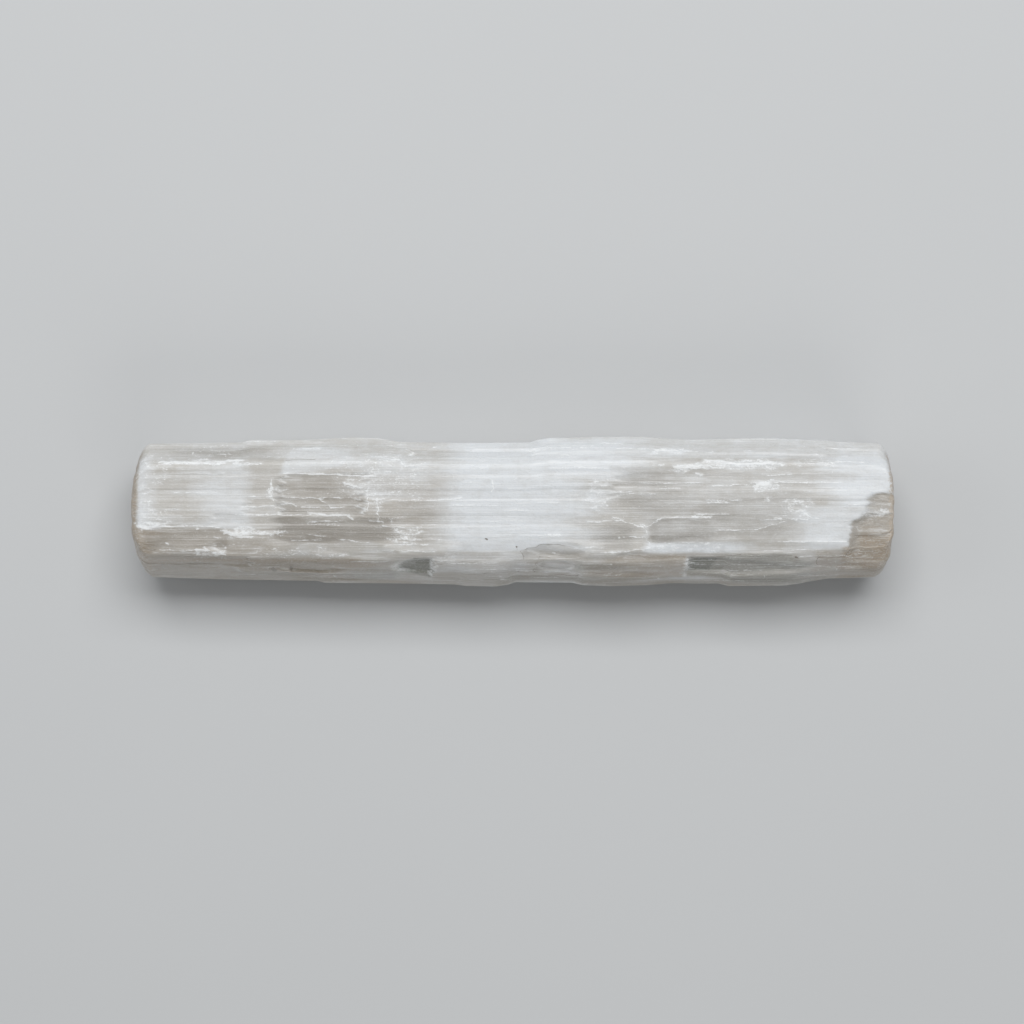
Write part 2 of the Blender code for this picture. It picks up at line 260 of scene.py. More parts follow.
# Fainter grey-green bands of painted shade, darkening the front bevel, given in the same way
# as the haze
DEEP_SHADE_BANDS = [
    (-71.0, -36.0, -9.8, -14.6, 5.0, 10.0, 1.0, 0.28),
    (-35.0, -22.6, -11.4, -13.6, 8.0, 2.0, 1.0, 0.40),
    (-2.0, 34.0, -12.7, -14.6, 8.0, 6.0, 0.8, 0.30),
    (12.6, 24.0, -10.2, -11.4, 2.0, 8.0, 0.6, 0.40),
    (35.0, 62.0, -12.2, -14.6, 2.0, 6.0, 0.8, 0.42),
    (43.6, 57.8, -13.3, -14.5, 2.0, 3.0, 0.5, 0.62),
]
# Warm staining near breaks and edges, given in the same way as the haze; on the front bevel
# it is partly painted shade, darkening the face turned from the light
STAIN_AND_SHADE = [
    (-76.5, -73.6, 13.0, -14.0, 0.5, 0.8, 2.0, 0.95),
    (-76.5, -69.0, -3.6, -14.9, 0.5, 6.0, 1.0, 0.85),
    (-75.0, -45.0, -3.4, -9.6, 3.0, 9.0, 2.0, 0.42),
    (-75.0, -30.0, -9.2, -14.9, 2.0, 14.0, 1.0, 1.00),
    (-15.6, 34.2, -8.8, -14.9, 0.5, 0.5, 0.8, 0.20),
    (16.0, 34.2, -8.6, -14.9, 8.0, 0.4, 0.8, 0.75),
    (-15.4, -3.0, -8.4, -10.4, 2.0, 4.0, 0.8, 0.30),
    (-44.8, -14.4, 6.6, -6.6, 3.0, 8.0, 2.0, 0.26),
    (59.6, 66.4, -8.0, -14.9, 3.0, 0.6, 0.8, 0.45),
    (64.8, 76.5, -7.0, -14.9, 1.5, 0.5, 0.8, 1.00),
    (-5.0, 60.0, -12.6, -14.9, 9.0, 9.0, 0.8, 0.35),
]
# How strongly the stepped break is stained: (across, strength)
BREAK_STAIN = [(4.4, 0.34), (-0.6, 0.40), (-2.0, 0.58), (-4.8, 0.70), (-5.3, 0.92), (-9.0, 1.00)]
BREAK_STAIN_EDGE = 0.45  # how much of that shows at its edge: less, which lightens the break's wall, partly painted light over its shade
BREAK_STAIN_RISE = (0.6, 1.6)  # how far past the edge, in slopes, the rest sets in
# Frosted areas, flaked white on the surface, given in the same way as the haze
FROSTED = [
    (-73.2, -70.4, 11.4, -3.0, 0.8, 2.0, 1.0, 0.50),
    (-70.4, -66.8, 9.0, 5.2, 1.5, 1.5, 1.0, 0.45),
    (-69.0, -50.0, 10.1, 9.0, 2.0, 2.0, 0.3, 0.95),
    (-62.0, -54.0, 13.0, 10.6, 3.0, 3.0, 0.8, 0.45),
    (-44.3, -33.4, 12.4, 8.0, 0.3, 3.0, 0.6, 0.25),
    (-34.4, -17.4, 11.0, 2.6, 3.0, 3.0, 1.0, 0.50),
    (-74.2, -68.0, -2.4, -3.8, 0.5, 1.5, 0.4, 1.00),
    (-70.8, -65.4, 0.2, -3.0, 1.0, 2.0, 0.8, 0.50),
    (-56.5, -51.0, -3.3, -5.3, 0.4, 1.5, 0.4, 1.00),
    (-53.0, -43.6, -3.8, -4.9, 1.0, 0.5, 0.3, 0.80),
    (-62.4, -55.4, -6.9, -8.9, 0.8, 0.6, 0.5, 0.75),
    (-50.0, -33.4, -7.2, -8.8, 1.0, 2.0, 0.5, 0.50),
    (-28.6, -25.0, 5.2, -0.4, 0.6, 1.5, 1.0, 0.60),
    (-27.0, -21.6, -0.4, -3.6, 1.0, 2.0, 0.8, 0.50),
    (-24.4, -17.6, -3.2, -6.8, 1.5, 1.5, 0.8, 0.75),
    (-8.4, -1.0, 12.2, 8.8, 2.0, 2.0, 0.8, 0.35),
    (31.6, 37.8, 9.4, 7.9, 0.4, 0.4, 0.4, 0.95),
    (37.6, 52.0, 10.4, 8.3, 1.0, 2.0, 0.5, 0.80),
    (27.6, 35.0, 12.4, 11.4, 1.5, 2.0, 0.4, 0.70),
    (47.8, 51.8, 6.0, 4.2, 0.4, 0.4, 0.4, 1.00),
    (49.8, 51.2, 2.9, 1.7, 0.3, 0.3, 0.3, 0.90),
    (15.4, 18.8, 7.0, 0.2, 1.0, 1.0, 1.0, 0.65),
    (53.4, 58.8, 2.4, -1.0, 1.0, 0.6, 0.6, 0.70),
    (25.6, 41.6, -6.4, -8.0, 1.0, 2.0, 0.5, 0.60),
    (56.0, 66.0, 10.4, 8.8, 2.0, 2.0, 0.5, 0.50),
    (68.8, 75.4, 0.3, -0.9, 0.5, 0.3, 0.3, 0.90),
    (4.0, 16.0, 13.0, 11.6, 2.0, 3.0, 0.6, 0.35),
]
# Frosted threads seen from above: half width, and points (along, across)
THREADS = [
    (0.21, [(-69.0, 9.7), (-62.0, 9.6), (-55.0, 9.9), (-52.6, 10.1)]),
    (0.11, [(-51.3, 9.3), (-49.4, 9.2)]),
    (0.07, [(-69.4, -1.5), (-66.8, -2.1)]),
    (0.24, [(-73.8, -3.2), (-71.0, -3.6), (-69.4, -2.9)]),
    (0.10, [(-69.0, -3.1), (-62.0, -2.9), (-57.2, -3.2)]),
    (0.18, [(-56.4, -4.4), (-52.0, -4.5), (-45.6, -4.4)]),
    (0.24, [(-56.4, -3.8), (-54.0, -4.9), (-51.4, -5.1)]),
    (0.09, [(-69.2, -7.6), (-62.4, -7.7)]),
    (0.17, [(-62.2, -7.4), (-59.4, -7.7)]),
    (0.13, [(-58.4, -8.0), (-55.6, -8.5)]),
    (0.18, [(-47.1, 6.2), (-47.0, 4.6), (-47.3, 2.9)]),
    (0.10, [(-51.3, 2.9), (-47.2, 2.8), (-46.8, 2.0)]),
    (0.09, [(-52.8, 0.9), (-50.6, 0.8), (-45.4, 1.2), (-43.0, 1.5), (-42.2, 0.9)]),
    (0.04, [(-66.0, 3.6), (-57.6, 3.7)]),
    (0.06, [(-54.2, -0.7), (-31.0, -0.7)]),
    (0.14, [(-44.9, 7.4), (-36.9, 7.3), (-26.4, 6.8)]),
    (0.08, [(-45.1, 2.6), (-32.7, 2.6)]),
    (0.09, [(-37.1, 2.3), (-35.6, 0.7), (-32.7, 0.7)]),
    (0.07, [(-41.5, 0.8), (-37.5, 0.8), (-36.9, 0.2)]),
    (0.22, [(-39.8, -0.3), (-36.0, -0.8), (-32.2, -0.8), (-30.9, -1.6)]),
    (0.12, [(-28.2, 4.6), (-28.1, 0.0)]),
    (0.15, [(-26.3, 1.7), (-26.1, -2.1)]),
    (0.19, [(-32.7, 5.5), (-29.3, 4.6)]),
    (0.10, [(-27.8, -1.9), (-25.2, -2.1)]),
    (0.12, [(-25.6, -2.8), (-22.6, -3.2)]),
    (0.12, [(-23.4, -4.1), (-20.6, -4.4)]),
    (0.14, [(-22.2, -5.4), (-18.8, -5.7)]),
    (0.10, [(-20.6, -6.5), (-16.0, -6.6)]),
    (0.13, [(-24.7, 10.3), (-22.4, 10.1), (-20.9, 8.9), (-17.9, 9.0)]),
    (0.08, [(-27.4, 2.4), (-15.4, 2.1), (-9.6, 2.6)]),
    (0.09, [(-43.0, -5.7), (-37.5, -5.7)]),
    (0.09, [(-33.7, -5.5), (-27.4, -6.3)]),
    (0.08, [(-43.0, -7.7), (-40.4, -8.5)]),
    (0.07, [(4.7, 12.4), (14.6, 12.4), (30.0, 12.2)]),
    (0.06, [(9.8, 11.2), (14.6, 11.2)]),
    (0.09, [(-3.7, 5.9), (-3.7, 3.8)]),
    (0.03, [(-9.6, -2.1), (-2.2, -2.1)]),
    (0.06, [(-17.4, -5.6), (-13.6, -5.6)]),
    (0.10, [(27.3, 9.1), (30.3, 9.2)]),
    (0.33, [(32.0, 8.6), (37.4, 8.7)]),
    (0.21, [(36.2, 7.4), (37.6, 7.0)]),
    (0.22, [(28.6, 11.9), (32.8, 11.9)]),
    (0.08, [(32.8, 11.8), (40.0, 11.6)]),
    (0.24, [(37.8, 10.1), (41.4, 9.9), (44.0, 9.2), (51.0, 9.5)]),
    (0.07, [(24.8, 5.5), (37.6, 5.5)]),
    (0.08, [(28.6, 4.5), (33.0, 4.5)]),
    (0.08, [(14.7, -2.1), (21.6, -1.9), (26.1, -3.4), (28.6, -2.0), (29.4, -1.5)]),
    (0.07, [(19.7, -0.9), (21.6, -1.8)]),
    (0.10, [(28.2, -1.7), (30.0, -1.3), (39.4, -1.2)]),
    (0.05, [(26.5, -3.6), (26.7, -6.6)]),
    (0.09, [(15.4, -8.1), (21.0, -8.1), (27.3, -7.3)]),
    (0.07, [(31.9, -6.2), (35.7, -6.2)]),
    (0.07, [(39.5, -3.7), (44.6, -3.7), (48.2, -3.6), (51.1, -2.7), (53.8, -2.0)]),
    (0.07, [(37.8, 2.1), (45.4, 2.1)]),
    (0.38, [(48.6, 5.3), (51.2, 5.0)]),
    (0.16, [(50.2, 2.6), (50.6, 1.9)]),
    (0.09, [(47.0, 5.7), (55.0, 5.7), (65.0, 5.6)]),
    (0.18, [(56.8, -0.1), (58.4, -1.0)]),
    (0.07, [(48.6, -1.7), (58.2, -1.7)]),
    (0.08, [(52.4, -6.0), (66.0, -6.0)]),
    (0.08, [(56.0, 9.7), (58.6, 9.4), (64.0, 9.9), (69.8, 9.9)]),
    (0.12, [(63.0, 8.0), (63.0, 7.5)]),
    (0.13, [(69.0, -0.3), (75.0, 0.0)]),
]
RANDOM_THREADS = 240  # more of them, all round
THREAD_SEED = 21
THREAD_WIDTHS = (0.01, 0.10)
THREAD_LIFT = 0.07
SPECKS = 70  # white crumbs
SPECK_SEED = 5
SPECK_WIDTHS = (0.10, 0.22)
SPECK_LENGTHS = (0.1, 0.5)

# Thin dark cracks and specks seen from above: half width, and points (along, across)
CRACKS = [
    (0.50, [(-47.1, -11.2), (-47.0, -11.6)]),
    (0.48, [(-43.4, -11.2), (-43.3, -11.5)]),
    (0.30, [(-5.2, -5.5), (-5.1, -5.5)]),
    (0.30, [(1.1, -7.1), (1.2, -7.1)]),
    (0.36, [(55.9, -9.2), (56.0, -9.2)]),
    (0.05, [(-74.4, -7.6), (-70.0, -7.7)]),
    (0.04, [(-73.8, -10.2), (-68.0, -10.5), (-62.0, -10.4)]),
    (0.05, [(-69.0, -10.4), (-68.9, -11.6)]),
    (0.03, [(-44.4, 10.1), (-38.4, 10.2)]),
    (0.03, [(-31.6, 7.3), (-26.4, 7.2)]),
    (0.04, [(2.4, -9.3), (2.3, -8.0), (3.0, -7.3), (4.4, -7.1), (5.3, -6.6), (7.3, -6.5)]),
    (0.02, [(7.3, -6.5), (9.3, -6.6), (11.3, -7.0), (13.1, -7.6), (14.6, -8.2)]),
    (0.04, [(5.3, -9.1), (4.6, -10.6), (4.5, -12.2)]),
    (0.02, [(5.4, -9.0), (12.0, -9.1)]),
    (0.04, [(7.4, -12.6), (13.6, -12.5)]),
    (0.05, [(16.2, -12.1), (18.2, -12.0)]),
    (0.04, [(-10.4, -9.9), (-9.4, -9.8), (-6.4, -9.9)]),
    (0.05, [(-5.8, -12.2), (-4.6, -12.0), (1.6, -12.2)]),
    (0.05, [(40.2, -9.1), (45.0, -8.7)]),
    (0.04, [(45.0, -8.6), (52.0, -8.4), (55.0, -8.9)]),
    (0.05, [(60.4, -10.8), (59.9, -9.8), (60.3, -9.2), (63.2, -9.2), (65.4, -9.0), (66.6, -7.9)]),
    (0.03, [(63.6, -12.4), (64.8, -10.2)]),
    (0.04, [(67.6, -5.2), (71.0, -5.4)]),
    (0.04, [(67.6, -9.6), (70.8, -9.7)]),
    (0.03, [(69.4, -0.3), (72.0, -0.6)]),
]
RANDOM_CRACKS = 90  # more of them, on the bevel, the sides and underneath
CRACKS_FROM = -9.6  # the place across where those begin
CRACK_SEED = 8
CRACK_WIDTHS = (0.01, 0.04)
CRACK_DEPTH = 0.06

LINE_STEPS = (1.0, 5.0)  # how long the straight runs of a random thread or crack are
LINE_TURN = 0.16  # and the standard deviation of how far each run strays round the section
LINE_SLOPE = 0.3  # the run of the slope at a thread's or crack's side
LINE_REACH = (1.5, 6.0)  # how far off a line counts, along and round

# The material's colours
MILKY = (0.42, 0.405, 0.378, 1.0)
WHITE_HAZE_AND_SHEEN = (0.59, 0.61, 0.627, 1.0)
CLEAR_GREY = (0.325, 0.309, 0.282, 1.0)
DEEP_SHADE_GREEN = (0.15, 0.155, 0.132, 1.0)
FROST_WHITE = (0.76, 0.775, 0.78, 1.0)
STAIN_AND_SHADE_TAN = (0.285, 0.23, 0.167, 1.0)
CRACK_BROWN = (0.15, 0.125, 0.10, 1.0)
SILK_DARK = (0.30, 0.29, 0.27, 1.0)
SILK_LIGHT = (0.70, 0.71, 0.71, 1.0)
END_TAN = (0.42, 0.355, 0.285, 1.0)

GYPSUM_IOR = 1.52
SCATTER_WEIGHT = 0.60
SCATTER_RADIUS = (1.0, 0.96, 0.92)  # of red, green and blue light, times the scale
SCATTER_SCALE = 6.0
BUMP_STRENGTH = 0.7

# The stage, in metres
FLOOR_GREY = (0.47, 0.478, 0.483, 1.0)
FLOOR_HALF = 3.0
FLOOR_GAP = 0.0002  # keeps the floor just clear of the base
MIDDLE = (0.0, 0.0, 0.01)
# Lights: name, place, size, power and colour
LIGHTS = [
    ("window", (0.05, 0.42, 0.80), (0.80, 0.45), 8.6, (0.99, 0.995, 1.0)),
    ("side", (-0.75, 0.10, 0.55), (0.40, 0.40), 0.8, (1.0, 1.0, 1.0)),
    ("fill", (0.25, -0.80, 0.55), (0.60, 0.40), 1.7, (1.0, 0.99, 0.97)),
]
SKY = (0.97, 0.985, 1.0, 1.0)
SKY_STRENGTH = 0.26


def smooth(t):
    """0 below 0, 1 above 1, and a soft rise between."""
    t = np.clip(t, 0.0, 1.0)
    return t * t * (3.0 - 2.0 * t)


def rise(value, low, high):
    """0 below low, 1 above high, and a soft rise between."""
    return smooth((value - low) / (high - low))


def fibre_noise(x, y, z, length, width, seed):
    """Noise from -1 to 1, drawn out along the fibres."""
    points = np.stack([x / length + 11.7 * seed, y / width, z / width], -1)
    values = [noise.noise(p) for p in points.reshape(-1, 3).tolist()]
    return 2.0 * np.array(values).reshape(points.shape[:-1])


def noises(x, y, z, parts):
    """Fibre noises added up, each times its strength."""
    return sum(strength * fibre_noise(x, y, z, *rest) for strength, *rest in parts)


def corner_girths():
    """The distance round the section at each corner, closing at the first."""
    corners = np.array(SECTION + SECTION[:1])
    runs = np.hypot(*np.diff(corners, axis=0).T)
    return np.concatenate([[0.0], np.cumsum(runs)])


def girth_at(across):
    """The distance round the section of a place seen from above."""
    rims = np.array([c[0] for c in SECTION[:UPPER_CORNERS]])
    return np.interp(-np.asarray(across, float), -rims, corner_girths()[:UPPER_CORNERS])


def section_points(girths):
    """Points of the worn section and its outward normals, at distances round it."""
    marks = corner_girths()
    corners = np.array(SECTION + SECTION[:1])
    fine = np.linspace(0.0, marks[-1], SECTION_STEPS, endpoint=False)
    y = np.interp(fine, marks, corners[:, 0])
    z = np.interp(fine, marks, corners[:, 1])
    reach = np.arange(-WEAR_STEPS, WEAR_STEPS + 1) * (fine[1] - fine[0])
    weights = np.exp(-0.5 * (reach / ARRIS_WEAR) ** 2)
    weights /= weights.sum()
    worn = []
    for line in (y, z):
        wrapped = np.concatenate([line[-WEAR_STEPS:], line, line[:WEAR_STEPS]])
        worn.append(np.convolve(wrapped, weights, "valid"))
    dy, dz = (np.gradient(line) for line in worn)
    size = np.hypot(dy, dz)
    fields = [worn[0], worn[1], dz / size, -dy / size]
    return [np.interp(girths, fine, field, period=marks[-1]) for field in fields]


def seen_girth(x, y, z, girth):
    """The distance round the section as the marks seen from above count it: they are given
    at their places across the finished plan, which the outline has drawn in."""
    plan = np.clip(y * outline_scale(x, y), SECTION[UPPER_CORNERS - 1][0], SECTION[0][0])
    return girth + (girth_at(plan) - girth) * rise(z, *SEEN_HEIGHTS)


def outline_scale(x, y):
    """How much the plan outline widens or narrows the section at each place."""
    rear = np.interp(x, *np.array(REAR_EDGE).T) / SECTION[0][0]
    front = np.interp(x, *np.array(FRONT_EDGE).T) / SECTION[UPPER_CORNERS - 1][0]
    return np.where(y > 0, rear, front)


def strip_relief(x, girth, jag):
    """Straight strips between the splits, each snapped off at its own levels."""
    draw = np.random.default_rng(STRIP_SEED)
    whole = corner_girths()[-1]
    hidden_from = corner_girths()[UPPER_CORNERS - 1]
    splits = np.concatenate([girth_at(SPLITS_ABOVE), SPLITS_BELOW])
    relief = np.zeros_like(x)
    for left, right in zip(splits, np.append(splits[1:], splits[0] + whole)):
        snaps = np.sort(draw.choice(SNAPS, draw.integers(1, 5), replace=False))
        low, high = UPPER_LEVELS if left < hidden_from else LOWER_LEVELS
        levels = draw.uniform(low, high, len(snaps) + 1)
        relief += strip(x, girth, left, right, snaps, levels, jag)
    return relief


def splinter_relief(x, girth, jag):
    """Much finer strips, each with a few snaps anywhere along it."""
    draw = np.random.default_rng(SPLINTER_SEED)
    whole = corner_girths()[-1]
    splits = np.cumsum(draw.uniform(*SPLINTER_WIDTHS, SPLINTERS))
    splits *= whole / splits[-1]
    relief = np.zeros_like(x)
    for left, right in zip(np.append(0.0, splits), splits):
        snaps = np.sort(draw.uniform(-76.0, 76.0, draw.integers(2, 7)))
        levels = draw.uniform(*SPLINTER_LEVELS, len(snaps) + 1)
        relief += strip(x, girth, left, right, snaps, levels, 0.5 * jag)
    return relief


def strip(x, girth, left, right, snaps, levels, jag):
    """One strip's relief: its level changes at each snap."""
    whole = corner_girths()[-1]
    off = np.mod(girth - (left + right) / 2 + whole / 2, whole) - whole / 2
    member = smooth(((right - left) / 2 - abs(off)) / SPLIT_WIDTH + 0.5)
    inside = member > 0.0
    level = np.full(inside.sum(), levels[0])
    for snap, change in zip(snaps, np.diff(levels)):
        level += change * smooth((x[inside] + jag[inside] - snap) / SNAP_WIDTH + 0.5)
    relief = np.zeros_like(x)
    relief[inside] = level * member[inside]
    return relief


def outline_damping(girth):
    """Small where the blade is widest, so that the plan outline stays as it is given."""
    marks = corner_girths()
    damping = np.ones_like(girth)
    for mark in (marks[0], marks[UPPER_CORNERS - 1], marks[-1]):
        damping -= OUTLINE_DAMPING * np.exp(-(((girth - mark) / ARRIS_REACH) ** 2))
    return damping


def plate_relief(x, girth, jag):
    """Broken plates: level areas a little above or below what is round them."""
    relief = np.zeros_like(x)
    for start, end, rear, front, lift in PLATES:
        first, last = girth_at([rear, front])
        along = smooth((x + jag - start) / SNAP_WIDTH + 0.5)
        along *= smooth((end - x - jag) / SNAP_WIDTH + 0.5)
        across = smooth((girth - first) / SPLIT_WIDTH + 0.5)
        across *= smooth((last - girth) / SPLIT_WIDTH + 0.5)
        relief += lift * along * across
    for middle, across, half_length, half_width, depth, start, end in CHIPS:
        reach = np.hypot((x - middle) / half_length, (girth - girth_at(across)) / half_width)
        along = smooth((x + 0.2 * jag - start) / SNAP_WIDTH + 0.5)
        along *= smooth((end - x - 0.2 * jag) / SNAP_WIDTH + 0.5)
        relief -= depth * along * smooth(3.0 * (1.0 - reach))
    return relief


def arris_wear(x, y, z, girth):
    """How far in the two arrises of the front bevel are worn, here more and there less."""
    length, width, depth = ARRIS_CHIPS
    worn = depth * smooth(1.2 * fibre_noise(x, y, z, length, width, 33) + 0.6)
    bevel = corner_girths()[2:4]
    return worn * sum(np.exp(-(((girth - mark) / ARRIS_REACH) ** 2)) for mark in bevel)


def break_relief(x, y, jag):
    """The right end's front corner, where layers have split off in steps, and how far past
    the break's edge each place is."""
    treads = np.array(BREAK_TREADS)
    edge = np.array(BREAK_EDGE)
    depth = np.interp(-y, -treads[:, 0], treads[:, 1])
    begins = np.interp(-y, -edge[:, 0], edge[:, 1])
    past_edge = (x - begins + 0.25 * jag) / BREAK_SLOPE
    return -depth * smooth(past_edge), past_edge


def line_fields(x, girth, lines):
    """Of the line nearest to each place: how far inside it the place is, the line's half
    width there, less what is past its ends, and the distance off its middle, with a sign."""
    reach = np.full_like(x, -1.0)
    width = np.full_like(x, -1.0)
    offset = np.zeros_like(x)
    margin, band = LINE_REACH
    for half, points in lines:
        for (x0, g0), (x1, g1) in zip(points, points[1:]):
            near = (x > min(x0, x1) - margin) & (x < max(x0, x1) + margin)
            near &= abs(girth - (g0 + g1) / 2) < band
            length = math.hypot(x1 - x0, g1 - g0)
            ux, ug = (x1 - x0) / length, (g1 - g0) / length
            along = (x[near] - x0) * ux + (girth[near] - g0) * ug
            off = (girth[near] - g0) * ux - (x[near] - x0) * ug
            here = half - np.maximum(np.maximum(-along, along - length), 0.0)
            better = here - abs(off) > reach[near]
            places = np.argwhere(near)[better]
            rows, columns = places[:, 0], places[:, 1]
            reach[rows, columns] = (here - abs(off))[better]
            width[rows, columns] = here[better]
            offset[rows, columns] = off[better]
    return reach, width, offset


def from_above(lines):
    """The same lines with their points' places across turned into distances round."""
    return [(w, [(x, float(girth_at(y))) for x, y in points]) for w, points in lines]


def random_lines(seed, count, widths, first):
    """Lines that keep to the fibres, with small steps, anywhere round it from first on."""
    draw = np.random.default_rng(seed)
    whole = corner_girths()[-1]
    lines = []
    for _ in range(count):
        x, girth = draw.uniform(-72.0, 66.0), draw.uniform(first, whole)
        points = [(x, girth)]
        for _ in range(draw.integers(1, 4)):
            x += draw.uniform(*LINE_STEPS)
            girth += draw.normal(0.0, LINE_TURN)
            points.append((x, girth))
        lines.append((draw.uniform(*widths), points))
    return lines


def specks():
    """White crumbs, as very short lines."""
    draw = np.random.default_rng(SPECK_SEED)
    whole = corner_girths()[-1]
    lines = []
    for _ in range(SPECKS):
        x, girth = draw.uniform(-70.0, 70.0), draw.uniform(0.0, whole)
        reach, turn = draw.uniform(*SPECK_LENGTHS), draw.uniform(0.0, math.pi)
        end = (x + reach * math.cos(turn), girth + reach * math.sin(turn))
        lines.append((draw.uniform(*SPECK_WIDTHS), [(x, girth), end]))
    return lines


def patch_mask(x, girth, patches, wander, feather):
    """Soft-edged areas seen from above, with their ends feathered along the fibres."""
    mask = np.zeros_like(x)
    for start, end, rear, front, left, right, side, strength in patches:
        first, last = girth_at([rear, front])
        along = smooth((x - start) / left + 0.5 + wander + feather)
        along *= smooth((end - x) / right + 0.5 + wander + feather)
        across = smooth((girth - first) / side + 0.5 + 0.5 * wander)
        across *= smooth((last - girth) / side + 0.5 + 0.5 * wander)
        mask = np.maximum(mask, strength * along * across)
    return mask


def plate_mask(x, girth, plates):
    """Areas seen from above with crisp edges, each given by its corners."""
    mask = np.zeros_like(x)
    for strength, softness, corners in plates:
        outline = [(along, float(girth_at(across))) for along, across in corners]
        inside = np.zeros(x.shape, bool)
        distance = np.full_like(x, np.inf)
        for (x0, g0), (x1, g1) in zip(outline, outline[1:] + outline[:1]):
            if g0 != g1:
                crossing = x0 + (x1 - x0) * (girth - g0) / (g1 - g0)
                inside ^= ((g0 > girth) != (g1 > girth)) & (x < crossing)
            run = np.array([x1 - x0, g1 - g0])
            t = np.clip(((x - x0) * run[0] + (girth - g0) * run[1]) / (run @ run), 0.0, 1.0)
            distance = np.minimum(distance, np.hypot(x - x0 - t * run[0], girth - g0 - t * run[1]))
        depth = np.where(inside, distance, -distance)
        mask = np.maximum(mask, strength * smooth(depth / softness + 0.5))
    return mask


def column_girths():
    """Where the mesh's columns are round the section: closer together above."""
    marks = corner_girths()
    first, last = -PAST_REAR, marks[UPPER_CORNERS] - SHORT_OF_FOOT
    end = marks[-1] - PAST_REAR
    above = np.linspace(first, last, int((last - first) / UPPER_SPACING), endpoint=False)
    below = np.linspace(last, end, int((end - last) / LOWER_SPACING), endpoint=False)
    return np.mod(np.concatenate([above, below]), marks[-1])


def ring_places():
    """For each ring of the fine mesh: its place along, its scale, and how far it faces out."""
    half = LENGTH / 2
    first, last = -half + ROUND_LEFT, half - ROUND_RIGHT
    angles = np.radians(np.linspace(0.0, 90.0, DOME_RINGS + 2)[1:-1])
    scales = np.cos(angles)
    rows = []
    for rim, depth, bluntness in ((first, -ROUND_LEFT, BLUNT_LEFT), (last, ROUND_RIGHT, BLUNT_RIGHT)):
        facing = np.sqrt(1.0 - scales**bluntness)
        dome = [(rim + depth * f, s, f) for s, f in zip(scales, facing)]
        if rim < 0:
            rows += dome[::-1] + [(x, 1.0, 0.0) for x in np.linspace(first, last, BODY_RINGS)]
        else:
            rows += dome
    return np.array(rows)


def rounder_rings(y, z, rounding):
    """Rings drawn in towards ellipses, so that the arrises die out on the end faces."""
    up = z - HEIGHT / 2
    half_width = abs(y).max(1, keepdims=True)
    half_height = abs(up).max(1, keepdims=True)
    size = np.hypot(y / half_width, up / half_height)
    return y + rounding * (y / size - y), z + rounding * (up / size - up)


def line_marks(x, seen):
    """The fields of all the threads and crumbs, and those of all the cracks."""
    threads = from_above(THREADS) + random_lines(THREAD_SEED, RANDOM_THREADS, THREAD_WIDTHS, 0.0)
    first = float(girth_at(CRACKS_FROM))
    cracks = from_above(CRACKS) + random_lines(CRACK_SEED, RANDOM_CRACKS, CRACK_WIDTHS, first)
    return line_fields(x, seen, threads + specks()), line_fields(x, seen, cracks)


def area_masks(x, y, z, seen, bends, facing, broken, past_edge):
    """Where the gypsum is hazy with painted sheen, clear, darkened by painted shade in its
    darkest windows, stained (on the front bevel partly painted shade) and frosted: as given
    where it is seen from above, and from noise on the sides, the end faces and the underside."""
    wander = noises(x, y, z, WANDER)
    feather = noises(0.0 * x, y, z, FEATHER)
    edges = x + EDGE_BEND * bends[0], seen + EDGE_BEND * bends[1]
    torn = x + noises(x, y, z, TEARS_ALONG), seen + noises(x, y, z, TEARS_ROUND)
    shown = rise(z + noises(x, y, z, VIEW_WAVES), *VIEW_HEIGHTS)
    shown *= 1.0 - rise(facing, *VIEW_ENDS)
    haze_and_sheen = patch_mask(x, seen, HAZE_AND_SHEEN, HAZE_AND_SHEEN_WANDER * wander, HAZE_AND_SHEEN_FEATHER * feather)
    clear = patch_mask(x, seen, CLEAR, wander, feather)
    deep_shade = patch_mask(x, seen, DEEP_SHADE_BANDS, wander, feather)
    stain_and_shade = shown * patch_mask(x, seen, STAIN_AND_SHADE, wander, feather)
    tan = np.interp(-y, *np.array([(-across, strength) for across, strength in BREAK_STAIN]).T)
    # the stain held back on the break's wall lightens it: partly painted light over its shade
    tan *= BREAK_STAIN_EDGE + (1.0 - BREAK_STAIN_EDGE) * rise(past_edge, *BREAK_STAIN_RISE)
    masks = {
        "haze_and_sheen": shown * np.maximum(haze_and_sheen, plate_mask(*edges, HAZE_AND_SHEEN_PLATES)) * (1.0 - broken),
        "clear": shown * np.maximum(clear, plate_mask(*edges, CLEAR_PLATES)),
        "deep_shade": shown * np.maximum(deep_shade, plate_mask(*edges, DEEP_SHADE_PLATES)),
        "stain_and_shade": np.maximum(stain_and_shade, broken * tan),
        "frosted": shown * patch_mask(*torn, FROSTED, wander, 0.0),
    }
    clouds, tans = noises(x, y, z, CLOUDS), noises(x, y, z, TANS)
    for name, level in (("haze_and_sheen", clouds), ("clear", -clouds), ("stain_and_shade", tans), ("frosted", clouds)):
        strength, start = UNSEEN[name]
        masks[name] += (1.0 - shown) * strength * smooth(level - start)
    return masks


